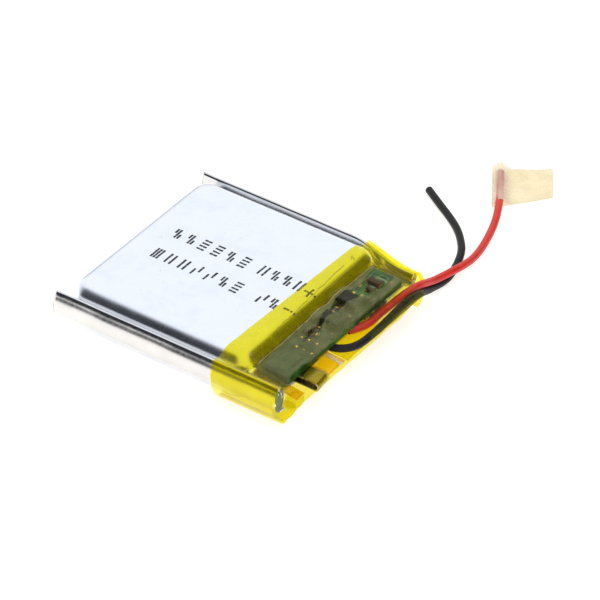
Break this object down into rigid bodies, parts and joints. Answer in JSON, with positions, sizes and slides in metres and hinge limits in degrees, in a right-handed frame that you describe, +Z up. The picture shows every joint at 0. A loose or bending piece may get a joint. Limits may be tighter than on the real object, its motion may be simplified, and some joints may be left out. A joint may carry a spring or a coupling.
{
  "type": "lithium polymer battery pack",
  "caption": "Flat silver pouch battery pack with folded side seals, a protection board taped on at one end with yellow tape, and short red and black leads.",
  "frame": {"origin": "under the middle of the pack's box, leads left out, on the plane it lies on", "axes": "+Z up through the thickness of the flat pack; +X along its length towards the protection board and the leads; +Y across its width towards the corner where the leads come out"},
  "size_m": [0.0316, 0.0548, 0.0057],
  "materials": {
    "pouch_laminate": "satin",
    "copper_anode": "matte",
    "cathode_coating": "matte",
    "separator_film": "matte",
    "green_tape": "gloss",
    "nickel": "satin",
    "aluminium_tab": "satin",
    "tab_sealant_film": "satin",
    "orange_tape": "gloss",
    "board_laminate": "satin",
    "foam": "matte",
    "chip_body": "matte",
    "ceramic_part": "satin",
    "solder": "satin",
    "tinned_copper": "satin",
    "red_insulation": "satin",
    "black_insulation": "satin",
    "yellow_tape": "gloss",
    "clear_tape": "gloss",
    "flag_tape": "satin",
    "ink": "matte"
  },
  "bodies": {
    "root": {"pouch_upper_film": "pouch_laminate", "pouch_lower_film": "pouch_laminate", "anode_sheet": "copper_anode", "cathode_sheet": "cathode_coating", "separator_inner": "separator_film", "separator_outer": "separator_film", "winding_tape": "green_tape", "negative_tab": "nickel", "positive_tab": "aluminium_tab", "negative_tab_sealant": "tab_sealant_film", "positive_tab_sealant": "tab_sealant_film", "terrace_insulation": "orange_tape", "pcm_board": "board_laminate", "negative_weld_plate": "nickel", "positive_weld_plate": "nickel", "board_foam_pad": "foam", "protection_ic": "chip_body", "dual_mosfet": "chip_body", "filter_resistor": "ceramic_part", "filter_capacitor": "ceramic_part", "sense_resistor": "ceramic_part", "red_lead": "red_insulation", "black_lead": "black_insulation", "red_lead_core": "tinned_copper", "black_lead_core": "tinned_copper", "positive_solder": "solder", "negative_solder": "solder", "wrap_tape": "yellow_tape", "board_cover_tape": "clear_tape", "lead_cover_tape": "clear_tape", "lead_end_flag": "flag_tape"}
  },
  "joints": []
}
